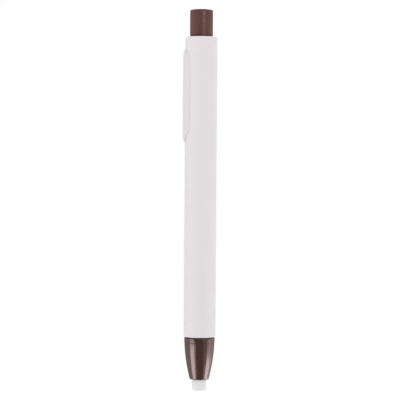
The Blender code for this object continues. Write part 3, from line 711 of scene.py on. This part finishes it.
def make_spring(paint):
    """Steel coil that shortens with the button."""
    low = SPRING_LOW.z + SPRING_WIRE / 2
    high = SPRING_HIGH.z - SPRING_WIRE / 2
    coil_radius = SPRING_HIGH.x - SPRING_WIRE / 2
    end_rise = SPRING_END_TURNS * SPRING_END_PITCH
    middle_turns = SPRING_TURNS - 2 * SPRING_END_TURNS
    middle_rise = high - low - 2 * end_rise
    line = bpy.data.curves.new("coil", "CURVE")
    line.dimensions = "3D"
    line.bevel_depth = SPRING_WIRE / 2
    line.bevel_resolution = WIRE_ROUNDNESS
    line.use_fill_caps = True
    spline = line.splines.new("POLY")
    spline.points.add(SPRING_TURNS * COIL_STEPS)
    for step, point in enumerate(spline.points):
        turns = step / COIL_STEPS
        if turns <= SPRING_END_TURNS:
            height = low + turns * SPRING_END_PITCH
        elif turns >= SPRING_TURNS - SPRING_END_TURNS:
            height = high - (SPRING_TURNS - turns) * SPRING_END_PITCH
        else:
            height = low + end_rise + middle_rise * (turns - SPRING_END_TURNS) / middle_turns
        angle = 2 * math.pi * turns
        point.co = (coil_radius * math.cos(angle), coil_radius * math.sin(angle), height, 1.0)
    guide = add_object("coil_guide", line)
    mesh = evaluated_mesh(guide)
    bpy.data.objects.remove(guide)
    smooth(mesh, COIL_SHARP_DEG)
    mesh.materials.clear()
    mesh.materials.append(paint)
    spring = add_object("spring_coil", mesh)
    dress(spring, "barrel_body", "return_spring")
    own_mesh(spring)


def paint_inner_pieces(paints):
    """Gives the carried-over inner solids their finishes."""
    finishes = {
        "eraser_tube": "inner_natural_plastic",
        "chuck_body": "inner_natural_plastic",
        "chuck_jaw_1": "inner_natural_plastic",
        "chuck_jaw_2": "inner_natural_plastic",
        "chuck_jaw_3": "inner_natural_plastic",
        "tip_guide": "inner_natural_plastic",
        "chuck_ring": "ring_brass",
        "tip_friction_ring": "friction_ring_rubber",
    }
    for node, slot in finishes.items():
        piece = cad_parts[node]
        piece.data.materials.clear()
        piece.data.materials.append(paints[slot])


# Studio

def direction(azimuth, elevation):
    """Unit vector from the pen towards a place round it. Azimuth 0 is the -Y side and 90 the +X side."""
    turn = math.radians(azimuth)
    rise = math.radians(elevation)
    return Vector((math.sin(turn) * math.cos(rise), -math.cos(turn) * math.cos(rise), math.sin(rise)))


def background_light(tree, strength):
    light = add_node(tree, "ShaderNodeBackground")
    light.inputs["Color"].default_value = (*WHITE, 1.0)
    light.inputs["Strength"].default_value = strength
    return light


def make_floor():
    """Pale round floor below the pen, lit and shaded near it and fading out into the background."""
    work = bmesh.new()
    bmesh.ops.create_grid(work, x_segments=2, y_segments=2, size=FLOOR_SIZE / 2)
    mesh = bpy.data.meshes.new("floor")
    work.to_mesh(mesh)
    work.free()
    floor = add_object("floor", mesh)
    floor.location.z = FLOOR_Z
    paint = bpy.data.materials.new("floor_white")
    paint.use_nodes = True
    tree = paint.node_tree
    tree.nodes.clear()
    lit = add_node(tree, "ShaderNodeBsdfDiffuse")
    lit.inputs["Color"].default_value = (FLOOR_GREY, FLOOR_GREY, FLOOR_GREY, 1.0)
    clear = add_node(tree, "ShaderNodeBsdfTransparent")
    place = add_node(tree, "ShaderNodeTexCoord")
    away = add_node(tree, "ShaderNodeVectorMath", operation="LENGTH")
    tree.links.new(place.outputs["Object"], away.inputs[0])
    far = spread(tree, away.outputs["Value"], 0.0, 1.0, FLOOR_NEAR, FLOOR_FAR)
    mix = add_node(tree, "ShaderNodeMixShader")
    tree.links.new(far, mix.inputs["Fac"])
    tree.links.new(lit.outputs["BSDF"], mix.inputs[1])
    tree.links.new(clear.outputs["BSDF"], mix.inputs[2])
    out = add_node(tree, "ShaderNodeOutputMaterial")
    tree.links.new(mix.outputs["Shader"], out.inputs["Surface"])
    mesh.materials.append(paint)


def make_world():
    """The camera sees plain white, a gloss sees ROOM_IN_GLOSS, and the rest is lit evenly from all round."""
    world = bpy.data.worlds.new("studio")
    bpy.context.scene.world = world
    world.use_nodes = True
    tree = world.node_tree
    tree.nodes.clear()
    light = background_light(tree, AMBIENT)
    white = background_light(tree, 1.0)
    ray = add_node(tree, "ShaderNodeLightPath")
    place = add_node(tree, "ShaderNodeTexCoord")
    facing = add_node(tree, "ShaderNodeVectorMath", operation="DOT_PRODUCT")
    facing.inputs[1].default_value = direction(VIEW_AZIMUTH, 0.0)
    tree.links.new(place.outputs["Generated"], facing.inputs[0])
    level = add_node(tree, "ShaderNodeValToRGB")
    stops = level.color_ramp.elements
    for cosine, bright in ROOM_IN_GLOSS:
        stops.new((1.0 + cosine) / 2).color = (bright, bright, bright, 1.0)
    # The two stops that a new ramp has at its ends go
    stops.remove(stops[-1])
    stops.remove(stops[0])
    tree.links.new(spread(tree, facing.outputs["Value"], 0.0, 1.0, -1.0, 1.0), level.inputs["Fac"])
    reflected = add_node(tree, "ShaderNodeBackground")
    tree.links.new(level.outputs["Color"], reflected.inputs["Color"])
    shiny = add_node(tree, "ShaderNodeMath", operation="MAXIMUM")
    tree.links.new(ray.outputs["Is Glossy Ray"], shiny.inputs[0])
    tree.links.new(ray.outputs["Is Transmission Ray"], shiny.inputs[1])
    in_gloss = add_node(tree, "ShaderNodeMixShader")
    tree.links.new(shiny.outputs["Value"], in_gloss.inputs["Fac"])
    tree.links.new(light.outputs["Background"], in_gloss.inputs[1])
    tree.links.new(reflected.outputs["Background"], in_gloss.inputs[2])
    seen = add_node(tree, "ShaderNodeMixShader")
    tree.links.new(ray.outputs["Is Camera Ray"], seen.inputs["Fac"])
    tree.links.new(in_gloss.outputs["Shader"], seen.inputs[1])
    tree.links.new(white.outputs["Background"], seen.inputs[2])
    out = add_node(tree, "ShaderNodeOutputWorld")
    tree.links.new(seen.outputs["Shader"], out.inputs["Surface"])


def softbox(name, from_camera, distance, width, low, high, radiance):
    """Upright soft panel that faces the pen's axis, at an angle round from the camera."""
    lamp = bpy.data.lights.new(name, "AREA")
    lamp.shape = "RECTANGLE"
    lamp.size = width
    lamp.size_y = high - low
    lamp.energy = math.pi * radiance * lamp.size * lamp.size_y
    panel = add_object(name, lamp)
    back = direction(VIEW_AZIMUTH + from_camera, 0.0)
    panel.location = back * distance + Vector((0.0, 0.0, (low + high) / 2))
    panel.rotation_mode = "QUATERNION"
    panel.rotation_quaternion = back.to_track_quat("Z", "Y")
    panel.visible_camera = False
    return panel


def make_lights():
    """Strips that only show as bands in the gloss, and fills that only add soft light."""
    for strip in STRIPS:
        softbox(*strip).visible_diffuse = False
    for fill in FILLS:
        softbox(*fill).visible_glossy = False


def make_camera():
    """Camera that puts the pen's ends and its axis on their pixels of the photograph."""
    metres_per_pixel = (CAD_BOUNDS[1].z - CAD_BOUNDS[0].z) / (PEN_END_PIXEL - PEN_TOP_PIXEL)
    middle_row = IMAGE_PIXELS / 2
    aim = Vector((0.0, 0.0, (PEN_END_PIXEL - middle_row) * metres_per_pixel))
    lens = bpy.data.cameras.new("camera")
    lens.sensor_width = SENSOR
    lens.lens = SENSOR * VIEW_DISTANCE / (IMAGE_PIXELS * metres_per_pixel)
    lens.clip_start = CAMERA_NEAR
    lens.clip_end = CAMERA_FAR
    lens.shift_x = (middle_row - PEN_AXIS_PIXEL) / IMAGE_PIXELS
    camera = add_object("camera", lens)
    back = direction(VIEW_AZIMUTH, VIEW_ELEVATION)
    camera.location = aim + back * VIEW_DISTANCE
    level = back.to_track_quat("Z", "Y").to_matrix().to_4x4()
    camera.matrix_world = Matrix.Translation(camera.location) @ level @ Matrix.Rotation(
        math.radians(ROLL_DEG), 4, "Z")
    bpy.context.scene.camera = camera


def main():
    bpy.context.scene.view_settings.view_transform = "Standard"
    make_camera()
    paints = make_materials()
    make_barrel(paints["barrel_white_plastic"])
    make_clip(paints["clip_white_plastic"])
    make_button(paints["button_brown_plastic"])
    make_nose(paints["nose_gloss_brown"])
    make_eraser(paints["eraser_white_rubber"])
    make_spring(paints["spring_steel"])
    paint_inner_pieces(paints)
    make_floor()
    make_world()
    make_lights()


main()
